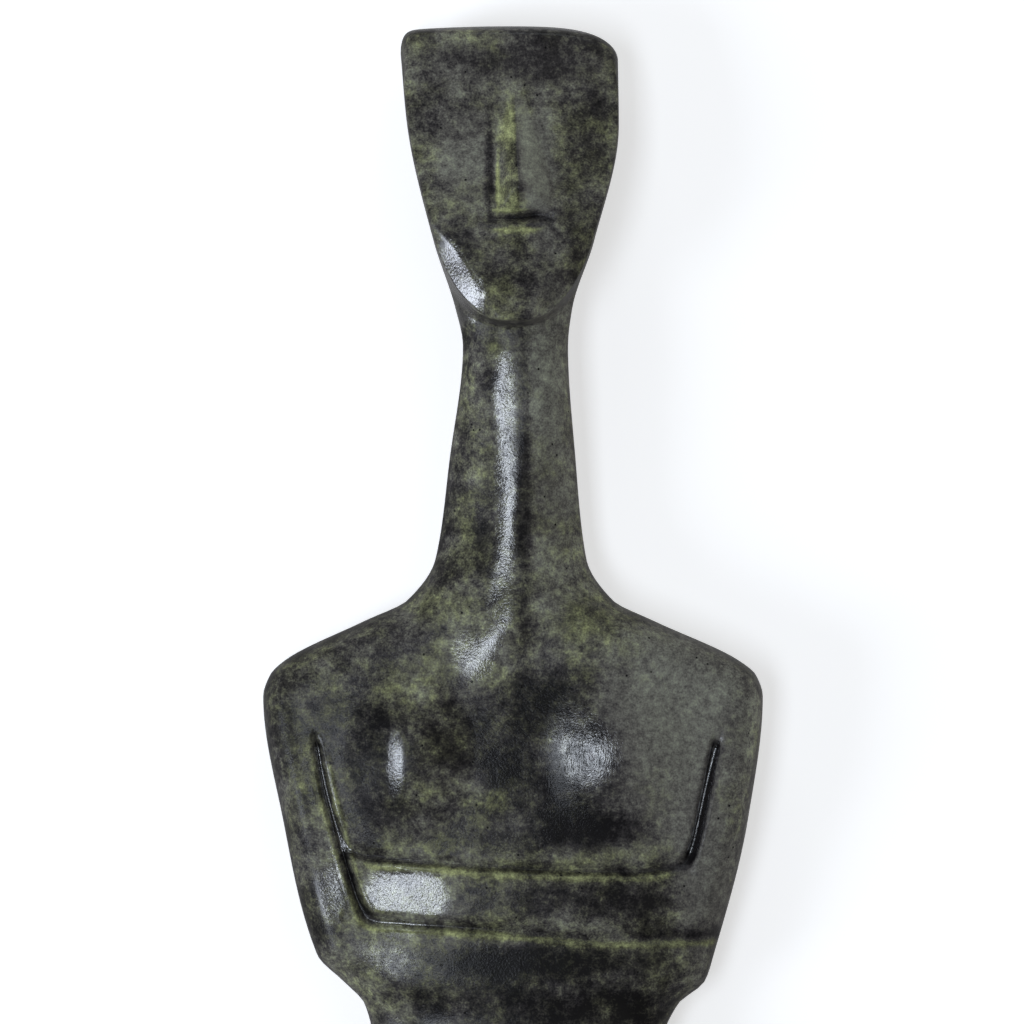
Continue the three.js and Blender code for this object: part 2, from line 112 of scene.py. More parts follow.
NOSE_TOP, NOSE_TIP, NOSE_BASE, NOSE_CENTRE, NOSE_HEIGHT = 8.0, 19.6, 22.8, 0.6, 2.9
NOSE_TOP_WIDTH, NOSE_RIGHT_WIDTH, NOSE_LEFT_WIDTH, NOSE_ROUNDING = 1.2, 2.5, 4.2, 0.3
MOUTH_DOWN, MOUTH_CENTRE, MOUTH_HALF_WIDTH, MOUTH_HALF_HEIGHT = 23.4, 0.3, 4.8, 0.5
MOUTH_DEPTH, LIP_HEIGHT, LIP_DROP, LIP_HALF_HEIGHT = 1.1, 0.35, 1.15, 0.5

BREASTS = [  # x, down, half-width, half-length, height
    (-12.8, 87.6, 8.4, 10.8, 1.6),
    (12.6, 87.0, 9.8, 10.8, 1.4),
]

GROOVE_WIDTH, GROOVE_DEPTH, GROOVE_CORNER, GROOVE_START = 0.55, 1.1, 1.6, 85.2
GROOVE_LIP = 0.22
# Heights of the arms over the chest, and the arm lines: down, x inside the upper arms, and x, down
# along the forearms.
RIGHT_LEVEL, LEFT_LEVEL = 0.45, 0.75
RIGHT_INNER = [(85.2, -23.6), (91, -22.6), (100, -20.2), (107.2, -18.2)]
RIGHT_UPPER = [(-18.4, 107.3), (-10, 107.6), (0, 108.3), (12, 109.2), (24, 109.0)]
LEFT_INNER = [(85.2, 24.4), (96.8, 22.1), (101.4, 21.3)]
LEFT_UPPER = [(-19.6, 99.6), (-10, 100.3), (0, 100.9), (14, 101.4), (21, 100.8)]
PITS = [(-20.3, 106.9, 0.36, 0.45), (-14.2, 101.2, 0.3, 0.35)]  # x, down, radius, depth
ARMS_END_DROP, ARMS_END_FROM, ARMS_END_DOWN, ARMS_END_TO = 0.25, 114.0, 117.0, 120.0
SHOULDER_FROM, SHOULDER_TO = 83.0, 94.0

GROIN_HIP, GROIN_RISE, GROIN_APEX, GROIN_WIDTH, GROIN_DEPTH = 18.4, 13.5, 151.5, 1.1, 0.6
GROIN_FROM, GROIN_TO = 126.0, 178.0
SPINE_FROM, SPINE_FULL, SPINE_UNTIL, SPINE_TO = 102.0, 116.0, 128.0, 140.0
SPINE_WIDTH, SPINE_DEPTH = 1.5, 0.8
TOE_GROOVES, TOE_FIRST, TOE_SPACING, TOE_WIDTH, TOE_DEPTH = 4, 2.6, 1.75, 0.28, 0.45
TOES_FROM, TOES_TO = 238.5, 241.0
SETTLE = 2.5  # relief fades in over this distance from the outline

# ---------------------------------------------------------------- small maths


def mix(a, b, t):
    return a + (b - a) * t


def smoothstep(low, high, value):
    t = np.clip((value - low) / (high - low), 0, 1)
    return t * t * (3 - 2 * t)


def bell(value, width):
    return np.exp(-((value / width) ** 2))


def hill(low, peak, high, value):
    return np.where(value < peak, smoothstep(low, peak, value), 1 - smoothstep(peak, high, value))


def through(rows, column=1):
    """A smooth curve through rows of (place, value, ...) that never overshoots them."""
    at = np.array([row[0] for row in rows], float)
    value = np.array([row[column] for row in rows], float)
    slope = np.diff(value) / np.diff(at)
    before, after = slope[:-1], slope[1:]
    total = np.where(before + after == 0, 1, before + after)
    inner = np.where(before * after > 0, 2 * before * after / total, 0)
    tangent = np.concatenate([slope[:1], inner, slope[-1:]])

    def curve(place):
        place = np.clip(place, at[0], at[-1])
        i = np.clip(np.searchsorted(at, place, side="right") - 1, 0, len(at) - 2)
        step = at[i + 1] - at[i]
        t = (place - at[i]) / step
        rise = tangent[i] * step * t * (1 - t) ** 2 - tangent[i + 1] * step * t * t * (1 - t)
        return mix(value[i], value[i + 1], t * t * (3 - 2 * t)) + rise

    return curve


def rounded_max(a, b, k):
    return (a + b + np.hypot(a - b, k)) / 2


def round_edge(t, landing=2.0):
    t = np.clip(t, 0, 1)
    return (1 - (1 - t) ** landing) ** (1 / np.minimum(landing, 2.0))


def spaced(count, low, high, density):
    """count + 1 places from low to high, closer together where density is high."""
    edges = np.linspace(low, high, 20001)
    sums = np.concatenate([[0], np.cumsum(density((edges[1:] + edges[:-1]) / 2))])
    return np.interp(np.linspace(0, sums[-1], count + 1), sums, edges)


def waves(x, y, seed, size, octaves=3):
    """Smooth noise of about -1 to 1, with bumps about size across, from sums of turned sines."""
    rng = np.random.RandomState(seed)
    total = np.zeros_like(x)
    for octave in range(octaves):
        for _ in range(7):
            angle = rng.uniform(0, 2 * math.pi)
            pitch = 2 * math.pi / (size * 0.5**octave * rng.uniform(1.4, 2.6))
            phase = rng.uniform(0, 2 * math.pi)
            along = x * math.cos(angle) + y * math.sin(angle)
            total += 0.55**octave * np.sin(pitch * along + phase)
    return total / 4.5


# ---------------------------------------------------------------- outline

right_side = through(OUTLINE, 1)
left_side = through(OUTLINE, 2)
right_inner, right_upper = through(RIGHT_INNER), through(RIGHT_UPPER)
left_inner, left_upper = through(LEFT_INNER), through(LEFT_UPPER)


def corner_turn(across, power):
    return 1 - np.sqrt(np.maximum(0, 1 - np.abs(across) ** power))


def row_down(across, row):
    """The mesh's rows are straight, except that they follow the crown, jaw, groin and toes."""
    crown = CROWN_SAG * across**2 + np.where(
        across < 0,
        CROWN_RIGHT[0] * corner_turn(across, CROWN_RIGHT[1]),
        CROWN_LEFT[0] * corner_turn(across, CROWN_LEFT[1]),
    )
    jaw = JAW_RISE * np.abs(across) ** JAW_POWER * hill(12, CHIN, 66, row)
    hips = GROIN_RISE * np.abs(across) * hill(GROIN_FROM, GROIN_APEX, GROIN_TO, row)
    toes = TOE_NOTCH * bell(across, TOE_NOTCH_WIDTH) + TOE_CORNER * corner_turn(across, TOE_POWER)
    return (
        row
        + crown * (1 - smoothstep(0, CROWN_REACH, row))
        - jaw
        - hips
        - toes * smoothstep(LENGTH - TOE_REACH, LENGTH, row)
    )


def plan_point(across, row):
    right = -right_side(row_down(np.full_like(row, -1.0), row))
    left = left_side(row_down(np.full_like(row, 1.0), row))
    return mix(right, left, (across + 1) / 2), row_down(across, row)


def outline_loop(side=420, end=140):
    """The outline as a closed loop of points: crown, its left side, toes, its right side."""
    up, over = np.linspace(0, LENGTH, side), np.linspace(-1, 1, end)
    runs = [
        plan_point(over, np.zeros(end)),
        plan_point(np.ones(side), up),
        plan_point(over[::-1], np.full(end, LENGTH)),
        plan_point(-np.ones(side), up[::-1]),
    ]
    return np.concatenate([np.stack(run, 1)[:-1] for run in runs])


LOOP = outline_loop()


def distance_to_outline(x, down):
    """Least distance from each point to the outline's edges, in chunks to spare memory."""
    points = np.stack([x.ravel(), down.ravel()], 1)
    start, span = LOOP, np.roll(LOOP, -1, 0) - LOOP
    squared = (span**2).sum(1)
    least = np.empty(len(points))
    for i in range(0, len(points), 4000):
        offset = points[i : i + 4000, None] - start
        t = np.clip((offset * span).sum(2) / squared, 0, 1)
        least[i : i + 4000] = np.sqrt(((offset - t[..., None] * span) ** 2).sum(2).min(1))
    return least.reshape(x.shape)


# ---------------------------------------------------------------- heights

front_along, back_along, seam_along = through(FRONT), through(BACK), through(SEAM)
front_edge, front_landing = through(FRONT_EDGE), through(FRONT_EDGE, 2)
face_edge = through([(0, 1.5), (4, 1.1), (8, 0.3), (40, 0.3)])
back_edge, back_landing = through(BACK_EDGE), through(BACK_EDGE, 2)
front_camber, front_cleft, back_cleft = (
    through(FRONT_CAMBER),
    through(FRONT_CLEFT),
    through(BACK_CLEFT),
)


def half_width(down):
    return (right_side(down) + left_side(down)) / 2


def beside_cleft(x, down, share):
    return 1 - share * (1 - round_edge(np.abs(x) / (half_width(down) / 2)))


def body_front(x, down, inward):
    seam = seam_along(down)
    camber = 1 - front_camber(down) * (x / half_width(down)) ** 2
    rise = round_edge(inward / front_edge(down), front_landing(down))
    height = (front_along(down) - seam) * camber * rise
    lean = NECK_LEAN * x * np.clip(inward / 6, 0, 1) * hill(30, 50, 84, down)
    return seam + height * beside_cleft(x, down, front_cleft(down)) + lean


def jaw_line(x):
    return CHIN - JAW_RISE * np.abs(x / JAW_HALF_WIDTH) ** JAW_POWER


def inside_jaw(x, down):
    steep = JAW_RISE * JAW_POWER / JAW_HALF_WIDTH * np.abs(x / JAW_HALF_WIDTH) ** (JAW_POWER - 1)
    return (jaw_line(x) - down) / np.hypot(1, steep)


def face_plane(x, down, inside_by, inward):
    """The face, with a facet along each jaw that fades out up the cheek and at the chin.

    inside_by is the distance inside the jaw line, and inward that inside the outline.
    """
    plane = FACE_BROW + FACE_TILT * down - FACE_CAMBER * x * x
    widening = smoothstep(21.5, 29, down) * mix(0.12, 1, smoothstep(1.6, 3.8, np.abs(x)))
    width = BEVEL_WIDTH * np.maximum(widening, 0.02)
    bevel = (1 - np.clip(inside_by / width, 0, 1)) ** BEVEL_POWER
    edge = round_edge(inward / face_edge(down), 2.8)
    return mix(seam_along(down), plane - BEVEL_DROP * widening * bevel, edge)


def with_face(neck, x, down, inward):
    inside_by = inside_jaw(x, down)
    face = face_plane(x, np.minimum(down, jaw_line(x)), np.maximum(inside_by, 0), inward)
    t = np.clip(-inside_by / FACE_WALL, 0, 1)
    return np.where(inside_by >= 0, face, mix(face, neck, 1 - (1 - t) ** 2))


def nose_flanks(x, down):
    """How far down from the top and up from the base, how far aside, and how near the ridge."""
    above = np.clip((down - NOSE_TOP) / (NOSE_TIP - NOSE_TOP), 0, 1)
    below = np.clip((NOSE_BASE - down) / (NOSE_BASE - NOSE_TIP), 0, 1)
    aside = x - NOSE_CENTRE * above
    width = np.where(
        aside < 0,
        mix(NOSE_TOP_WIDTH, NOSE_RIGHT_WIDTH, smoothstep(0.1, 0.6, above)),
        mix(NOSE_TOP_WIDTH, NOSE_LEFT_WIDTH, above),
    )
    return above, below, aside, np.maximum(0, 1 - np.abs(aside) / width)


def nose(x, down):
    above, below, _, flank = nose_flanks(x, down)
    ridge = above**1.2 * flank * np.sqrt(2 - flank)
    return NOSE_HEIGHT * np.maximum(0, -rounded_max(-ridge, -below, NOSE_ROUNDING))


def mouth_lines(x, down):
    """The mouth's slit, which lifts and gapes towards the left, and the lip under it: 0 to 1."""
    aside = x - MOUTH_CENTRE
    lift = 0.35 * bell(aside - 2.4, 1.5)
    droop = 0.3 * smoothstep(3, MOUTH_HALF_WIDTH, aside)
    gape = 1 + 0.5 * bell(aside - 2.6, 1.2)
    middle = MOUTH_DOWN - lift + droop
    fade = np.maximum(0, 1 - (aside / MOUTH_HALF_WIDTH) ** 2)
    slit = np.sqrt(fade) * bell(down - middle, MOUTH_HALF_HEIGHT * gape)
    return slit, fade * bell(down - middle - LIP_DROP, LIP_HALF_HEIGHT)


def mouth(x, down):
    slit, lip = mouth_lines(x, down)
    return LIP_HEIGHT * lip - MOUTH_DEPTH * slit


def breasts(x, down):
    total = np.zeros_like(x)
    for middle, at, across, along, height in BREASTS:
        t = np.clip(np.hypot((x - middle) / across, (down - at) / along), 0, 1)
        total += height * (1 - t * t) ** 2
    return total


def collar(x, down):
    """The neck's ridge runs out on the chest, bending to its right."""
    crest = COLLAR_X - COLLAR_BEND * smoothstep(COLLAR_BEND_FROM, COLLAR_TO, down)
    shown = hill(COLLAR_FROM, COLLAR_FULL, COLLAR_TO, down)
    return COLLAR_HEIGHT * bell(x - crest, COLLAR_WIDTH) * shown


def arm_lines(x, down):
    """Above 0 inside the right arm, and inside the chest panel that the arms frame."""
    beside_right = right_inner(down) - x
    in_right_arm = rounded_max(down - right_upper(x), beside_right, GROOVE_CORNER)
    left_corner = rounded_max(x - left_inner(down), down - left_upper(x), GROOVE_CORNER)
    return in_right_arm, -rounded_max(beside_right, left_corner, GROOVE_CORNER)


def groove_depths(x, down):
    """How deep each of the two arm grooves is at a point, from 0 to 1."""
    in_right_arm, in_chest = arm_lines(x, down)
    belly = smoothstep(ARMS_END_FROM, ARMS_END_TO, down)
    shown = smoothstep(GROOVE_START - 0.4, GROOVE_START + 1.2, down) * (1 - belly)
    # Beside the right upper arm the groove opens out downwards. Under the forearm its upper side
    # is steep at first, and soft towards the figurine's left. Its lower side is a shelving lip.
    upright = smoothstep(-1, 1, right_inner(down) - x - down + right_upper(x))
    leftward = smoothstep(-10, 18, x)
    opening = mix(0.45, 1.3, smoothstep(GROOVE_START, 106, down))
    above = GROOVE_WIDTH * mix(mix(0.8, 2.6, leftward), opening, upright)
    below = GROOVE_WIDTH * mix(1.7, 0.8, upright)
    depth = mix(mix(0.85, 0.65, leftward), 0.9, upright)
    right = depth * bell(in_right_arm, np.where(in_right_arm < 0, above, below))
    # Beside the left upper arm the groove is a round channel. Over the forearm it is a steep
    # little step with a shelving lower lip, and no more than a hairline at its right end.
    upright = smoothstep(-1, 1, x - left_inner(down) - down + left_upper(x))
    round_channel = np.exp(-np.abs(in_chest / (1.05 * GROOVE_WIDTH)) ** 4)
    lip = GROOVE_WIDTH * mix(0.6, 1.9, smoothstep(-16, -8, x))
    step = bell(in_chest, np.where(in_chest > 0, 0.7 * GROOVE_WIDTH, lip))
    left = mix(0.75 * step, 1.1 * round_channel, upright)
    return right * shown, left * shown


def groove_lips(x, down):
    """The grooves' raised lips, from 0 to 1: below the level ones, and beside the right arm's."""
    in_right_arm, in_chest = arm_lines(x, down)
    shown = smoothstep(GROOVE_START, 92, down) * (down < ARMS_END_DOWN)
    under_chest = bell(-in_chest - 0.8, 0.36) * smoothstep(0, 3, left_inner(down) - x - 1)
    level = smoothstep(0, 3, x - right_inner(down) - 1)
    under_forearm = bell(in_right_arm - 0.9, 0.42) * level
    beside_arm = bell(np.abs(in_right_arm) - 0.95, 0.3) * (1 - level)
    lips = np.maximum(under_chest * smoothstep(-20, -15, x), 0.8 * under_forearm)
    return np.maximum(lips, 0.6 * beside_arm) * shown


def pits(x, down):
    total = np.zeros_like(x)
    for middle, at, radius, depth in PITS:
        total -= depth * bell(np.hypot(x - middle, down - at), radius)
    return total


def arms(x, down):
    in_right_arm, in_chest = arm_lines(x, down)
    right_arm = smoothstep(-0.5, 0.5, in_right_arm)
    chest = smoothstep(-0.5, 0.5, in_chest)
    level = mix(mix(LEFT_LEVEL, RIGHT_LEVEL, right_arm), 0, chest)
    belly = smoothstep(ARMS_END_FROM, ARMS_END_TO, down)
    shown = smoothstep(SHOULDER_FROM, SHOULDER_TO, down)
    cut = np.maximum(*groove_depths(x, down))
    relief = GROOVE_LIP * groove_lips(x, down) - GROOVE_DEPTH * cut
    return (level - (level + ARMS_END_DROP) * belly) * shown + relief


def groin(x, down):
    line = GROIN_APEX - GROIN_RISE * np.abs(x) / GROIN_HIP
    return np.where(np.abs(x) < GROIN_HIP, -GROIN_DEPTH * bell(down - line, GROIN_WIDTH), 0)


def toe_lines(x, down):
    """Four short grooves on the front of each foot."""
    aside = np.abs(x)
    total = np.zeros_like(x)
    for k in range(TOE_GROOVES):
        at = TOE_FIRST + TOE_SPACING * k
        total += bell(aside - at, TOE_WIDTH) * smoothstep(TOES_FROM, TOES_TO, down)
    return -TOE_DEPTH * total


def front_height(x, down, inward):
    height = body_front(x, down, inward)
    faced = with_face(height, x, down, inward) + nose(x, down) + mouth(x, down)
    height = np.where(down < CHIN + 2 * FACE_WALL, faced, height)
    settled = np.clip(inward / SETTLE, 0, 1)
    relief = np.where(down > GROOVE_START - 2, arms(x, down), 0)
    relief += groin(x, down) + toe_lines(x, down) + pits(x, down)
    casting = 0.04 * waves(x, down, 11, 9) + 0.012 * waves(x, down, 12, 3.2)
    return height + breasts(x, down) + collar(x, down) + (relief + casting) * settled


def back_height(x, down, inward):
    edge = round_edge(inward / back_edge(down), back_landing(down))
    share = edge * beside_cleft(x, down, back_cleft(down))
    ended = smoothstep(SPINE_UNTIL, SPINE_TO, down)
    shown = smoothstep(SPINE_FROM, SPINE_FULL, down) * (1 - ended)
    spine = SPINE_DEPTH * shown * bell(x, SPINE_WIDTH)
    height = mix(seam_along(down), back_along(down), share) + spine
    casting = 0.08 * (1 + waves(x, down, 21, 9)) * np.clip(inward / SETTLE, 0, 1)
    return height + casting * smoothstep(0, 0.5, height)


# ---------------------------------------------------------------- where the patina differs, and painted shade and sheen

# Each zone is (x, down, reach across, reach along, amount).
DARK_ZONES = [
    (0.5, 4.2, 12, 3.2, 0.6),  # forehead
    (7.8, 17.5, 2.6, 8, 0.5),  # left side of the face
    (-8.5, 11, 2.5, 3, 0.4),
    # painted shade: the shadow in the hollow beside the nose, and under the nose's tip
    (-2.9, 17, 0.5, 6.5, 0.9),  # beside the nose
    (0.9, 20.0, 0.6, 1.3, 0.6),
    # painted sheen: paler along the nose's ridge
    (0.3, 9.0, 0.9, 3.5, -0.35),  # the nose's ridge is paler
    (1.5, 14.5, 0.8, 4.5, -0.3),
    # painted shade: a dark line along the nose's ridge
    (-0.2, 16.4, 0.9, 2.4, 0.4),
    (0, 0.6, 14, 0.8, 0.5),  # crown
    (-7.0, 30.5, 2.4, 6.5, 0.7),  # jaw
    (-6.4, 46, 1.6, 9, 0.35),  # the neck's right edge
    (-8.0, 62, 2, 8, 0.4),
    (-27.5, 86, 5, 13, 0.45),  # right arm
    (-20, 74, 8, 3, 0.3),
    (-2.5, 104.2, 5, 2.4, 0.4),
    (-14, 95, 8, 3.5, 0.2),
    (1.6, 31.5, 5, 3, 0.1),  # chin
    (-2.6, 43.5, 1.4, 3, 0.4),
    # painted shade: the dark reflection beside the highlight on the neck's ridge
    (1.2, 56, 1.0, 17, 0.85),  # the neck's ridge
    (-3.6, 62, 2.0, 5, 0.6),
    (-17.6, 87, 4.4, 8, 0.9),  # right breast
    (-6.6, 86, 4.6, 6, 0.6),
    (5.4, 87.5, 7.6, 8, 0.9),  # left breast
    (2, 80, 5, 3, 0.8),
    (9, 96, 6, 2.6, 1.2),
    (9, 104.6, 9, 2.2, 1.1),  # left forearm
    (-4.5, 104.4, 2.4, 2.6, 0.4),
    (1.5, 112, 12, 2.1, 1.5),  # right forearm
    (6, 118, 15, 3.4, 1.1),  # belly
    (-25, 108, 3, 5, 0.4),  # right elbow
    (-5.8, 15.5, 3.0, 6, -0.2),  # right cheek
    # painted sheen: the neck's left side is paler where the light from that side falls
    (4.6, 48, 3.2, 22, -0.28),  # the neck's left side
    (19, 84, 9, 10, -0.2),  # left shoulder
    (0, 97.6, 12, 1.6, 0.55),
    (-1.5, 88, 3, 5, 0.55),
]
OLIVE_ZONES = [
    (-1.9, 18.8, 0.28, 3.6, 1.4),  # the nose's right side
    (-0.4, 13.6, 0.6, 3.0, 0.8),
    (-0.2, 21.2, 2.4, 1.1, 0.9),
    (-0.9, 22.5, 2.6, 0.35, 1.4),  # lips
    (0.3, 24.8, 3.1, 0.42, 1.6),
    (-1, 31.2, 1.1, 1.2, 0.4),
    (-2.4, 38.6, 0.9, 0.8, 1.0),
    (-5.5, 59, 1.1, 4.6, 0.5),
    (-3.8, 55.8, 1.2, 1.3, 0.4),
    (-8, 70, 4.4, 2.4, 0.4),
    (-11.6, 78, 4.4, 4.4, 0.4),
    (6.8, 71.5, 3.2, 2, 0.5),
    (-12.5, 100.9, 4.5, 0.35, 0.9),  # the chest groove's lower lip
    (-2.2, 93, 1.6, 1.4, 1.0),
    (-8, 98.2, 9, 1.2, 0.5),
    (14, 98.8, 8, 1.4, 0.4),
]
EVEN_ZONES = [
    (0, 4.8, 12, 3.6, 0.8),  # forehead
    # painted sheen: the nose's left side is paler and more even
    (3.0, 17, 1.8, 7, 1.6),  # the nose's left side
    (-5.6, 16.5, 3.8, 7, 0.9),  # right cheek
    # painted sheen: the neck's left side is paler and more even
    (4.6, 48, 3.2, 22, 0.9),  # the neck's left side
    (-11, 76, 6, 5, 0.5),  # chest above the breasts
    (19, 84, 9, 13, 1.6),  # left shoulder and arm
    (23, 102, 4, 9, 1.4),
    (-9, 97, 9, 2.6, 0.5),
    (12, 97.5, 10, 2.4, 0.5),
]
POLISHED_ZONES = [
    (-6.4, 31.0, 2.9, 6.4, 1.0),  # jaw
    (-2.8, 37.4, 4.0, 1.7, -0.8),  # none under the chin
    (-1.4, 42.8, 1.9, 5.6, 0.37),  # the neck's ridge
    (-1.0, 56, 1.4, 14, 0.65),
    (-1.8, 70.5, 1.4, 4.6, 0.7),
    (-4.4, 75.2, 2.9, 3.0, 0.7),
    (-14.1, 88.4, 0.85, 3.7, 1.3),  # right breast
    (9.8, 86.2, 5.4, 5.8, 0.45),  # left breast
    (-21.8, 97, 1.0, 9, 0.25),  # right elbow
    (-21.8, 102.8, 1.9, 4.4, 0.45),
    (-12.9, 104.4, 4.3, 3.4, 1.6),  # left forearm
    (-15.5, 112, 5, 3, 0.28),  # right forearm
    (-12, 119, 5, 2, 0.2),
]

# The sides, the legs and the back are plainer: darker, more even and waxed all over.
PLAIN_DARK, PLAIN_EVEN, PLAIN_POLISH = 0.35, 0.6, 0.4
LEGS_FROM_TO = (118, 134)


def zones(table, x, down):
    total = np.zeros_like(x)
    for middle, at, across, along, amount in table:
        squared = ((x - middle) / across) ** 2 + ((down - at) / along) ** 2
        total += amount * np.exp(-(squared**1.5))
    return total


def groove_shade_and_lips(x, down):
    """Painted shade darkening the grooves and the mouth's slit, and where the grooves' lower lips
    hold olive patina.
    """
    upright = mix(0.55, 1, smoothstep(16, 21, np.abs(x)))
    # painted shade, darkest where the grooves and the mouth's slit are deepest
    grooves = 2.8 * upright * np.maximum(*groove_depths(x, down)) ** 2.5
    return grooves + 1.8 * mouth_lines(x, down)[0] ** 2, 1.7 * groove_lips(x, down)


def nose_patina_and_painted_light(x, down):
    """The nose's right side, which holds olive patina, its left side, painted paler as sheen, and
    a line of painted shade along its ridge, each from 0 to 1.
    """
    above, below, aside, flank = nose_flanks(x, down)
    shown = smoothstep(0, 0.25, flank) * smoothstep(0, 0.2, above) * smoothstep(0, 0.3, below)
    left = smoothstep(-0.15, 0.15, aside)
    return shown * (1 - left), shown * left, shown * bell(aside, 0.25)


def carving(x, down):
    return arms(x, down) + nose(x, down) + mouth(x, down) + groin(x, down) + toe_lines(x, down)


def hollows(x, down, reach=0.7):
    """How far a point lies under the ring of points around it: above 0 in a hollow."""
    turns = np.linspace(0, 2 * math.pi, 8, endpoint=False)
    ring = [carving(x + reach * math.cos(a), down + reach * math.sin(a)) for a in turns]
    return np.mean(ring, 0) - carving(x, down)


# ---------------------------------------------------------------- mesh


def row_density(row):
    return (
        0.30
        + 0.45 * (1 - smoothstep(118, 130, row))
        + 2.2 * bell(row, 2.5)
        + 0.7 * bell(row - 21.5, 3.5)
        + 2.4 * bell(row - CHIN, 1.6)
        + 0.5 * bell(row - 74.5, 6)
        + 1.6 * bell(row - 101, 2.2)
        + 1.6 * bell(row - 109, 2.2)
        + 0.5 * bell(row - GROIN_APEX, 3)
        + 1.6 * bell(row - LENGTH, 5)
    )


def column_density(across):
    edge = 0.30 / np.sqrt(1.002 - across * across)
    return 0.6 + edge + 1.3 * bell(np.abs(across) - 0.775, 0.06) + 0.9 * bell(across, 0.2)


def height_grid(columns, rows, height_at):
    across, row = np.meshgrid(columns, rows)
    x, down = plan_point(across, row)
    seam = np.zeros_like(x, bool)
    seam[:, [0, -1]] = True
    seam[[0, -1], :] = True
    inward = np.where(seam, 0, distance_to_outline(x, down))
    z = np.where(seam, seam_along(down), height_at(x, down, inward))
    return np.stack([x, -down, z], 2)


def quads(index, facing_up):
    """The four corners of every cell of a grid of vertex numbers."""
    a, b, c, d = index[:-1, :-1], index[:-1, 1:], index[1:, 1:], index[1:, :-1]
    order = (a, d, c, b) if facing_up else (a, b, c, d)
    return np.stack([corner.ravel() for corner in order], 1)


def set_attribute(mesh, name, values):
    attribute = mesh.attributes.new(name, "FLOAT", "POINT")
    attribute.data.foreach_set("value", values.astype(np.float32))


def seam_strip(seam, line, kept, turned):
    """Faces from the seam's points to the row of the back beside it, which has fewer points."""
    strip = []
    for k in range(len(kept) - 1):
        run = seam[kept[k] : kept[k + 1] + 1].tolist()
        cell = [int(line[k]), *run, int(line[k + 1])]
        strip.append(cell[::-1] if turned else cell)
    return strip


def figurine_surface():
    """The figurine's points, its faces, and how many of the points belong to the front."""
    rows = spaced(ROWS, 0, LENGTH, row_density)
    columns = spaced(COLUMNS, -1, 1, column_density)
    kept = np.arange(0, COLUMNS + 1, BACK_STEP)
    front = height_grid(columns, rows, front_height)
    back = height_grid(columns[kept], rows, back_height)
    front_index = np.arange(front.shape[0] * front.shape[1]).reshape(front.shape[:2])
    back_index = front_index[:, kept].copy()
    inner = (back.shape[0] - 2, back.shape[1] - 2)
    back_index[1:-1, 1:-1] = front_index.size + np.arange(inner[0] * inner[1]).reshape(inner)
    faces = [
        *quads(front_index, True).tolist(),
        *quads(back_index[1:-1], False).tolist(),
        *seam_strip(front_index[0], back_index[1], kept, False),
        *seam_strip(front_index[-1], back_index[-2], kept, True),
    ]
    points = np.concatenate([front.reshape(-1, 3), back[1:-1, 1:-1].reshape(-1, 3)])
    return points, faces, front_index.size


def steepness(mesh):
    """0 where the surface is level, rising to 1 where it is nearly upright."""
    normals = np.empty(3 * len(mesh.vertices))
    mesh.vertices.foreach_get("normal", normals)
    return 1 - smoothstep(0.15, 0.5, np.abs(normals[2::3]))


def paint(mesh, points, on_front):
    """Stores where the patina differs, and where shade and sheen are painted, for the material to
    read.
    """
    x, down = points[:, 0], -points[:, 1]
    groove_painted_shade, lip_olive = groove_shade_and_lips(x, down)
    nose_right, nose_left_painted_sheen, nose_ridge_painted_shade = nose_patina_and_painted_light(x, down)
    walls = steepness(mesh)
    legs = smoothstep(*LEGS_FROM_TO, down)
    plain = np.maximum(legs, walls)
    # dark and even also hold painted shade and painted sheen, besides patina
    dark = zones(DARK_ZONES, x, down) + groove_painted_shade - 0.25 * nose_left_painted_sheen + 0.35 * nose_ridge_painted_shade
    even = zones(EVEN_ZONES, x, down) + 0.8 * nose_left_painted_sheen
    olive = zones(OLIVE_ZONES, x, down) + lip_olive + 0.4 * nose_right
    crown = 1 - smoothstep(0.6, 1.6, down)
    channels = np.sqrt(np.maximum(*groove_depths(x, down))) * (down < 99)
    polished = zones(POLISHED_ZONES, x, down) + 0.7 * channels + 0.4 * crown
    cheeks = smoothstep(9, 14, down) * (1 - smoothstep(22, 30, down)) * smoothstep(1, 3, np.abs(x))
    left_breast = bell(np.hypot((x - 10.2) / 5.5, (down - 86.6) / 5.5), 1)
    fields = {  # name: values on the front, value on the back
        "hollow": (hollows(x, down), 0),
        "dark": (dark + PLAIN_DARK * plain, PLAIN_DARK),
        "olive": (olive * (1 - plain), 0),
        "even": (even + PLAIN_EVEN * plain, PLAIN_EVEN),
        "polished": (polished + PLAIN_POLISH * (legs + walls / 2), PLAIN_POLISH),
        "filed": (cheeks + 0.85 * left_breast, 0),
    }
    for name, (front, back) in fields.items():
        set_attribute(mesh, name, np.where(on_front, front, back))


def figurine_mesh():
    points, faces, front_count = figurine_surface()
    middle = (points.min(0) + points.max(0)) / 2
    placed = (points - (middle[0], middle[1], points[:, 2].min())) * (TRIM, TRIM, 1)
    mesh = bpy.data.meshes.new("figurine_bronze")
    mesh.from_pydata((placed / 1000).tolist(), [], faces)
    paint(mesh, points, np.arange(len(points)) < front_count)
    mesh.validate()
    mesh.shade_smooth()
    return mesh


figurine = bpy.data.objects.new("figurine_bronze", figurine_mesh())
bpy.context.scene.collection.objects.link(figurine)
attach(figurine, "root")
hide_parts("figurine")

# ---------------------------------------------------------------- bronze


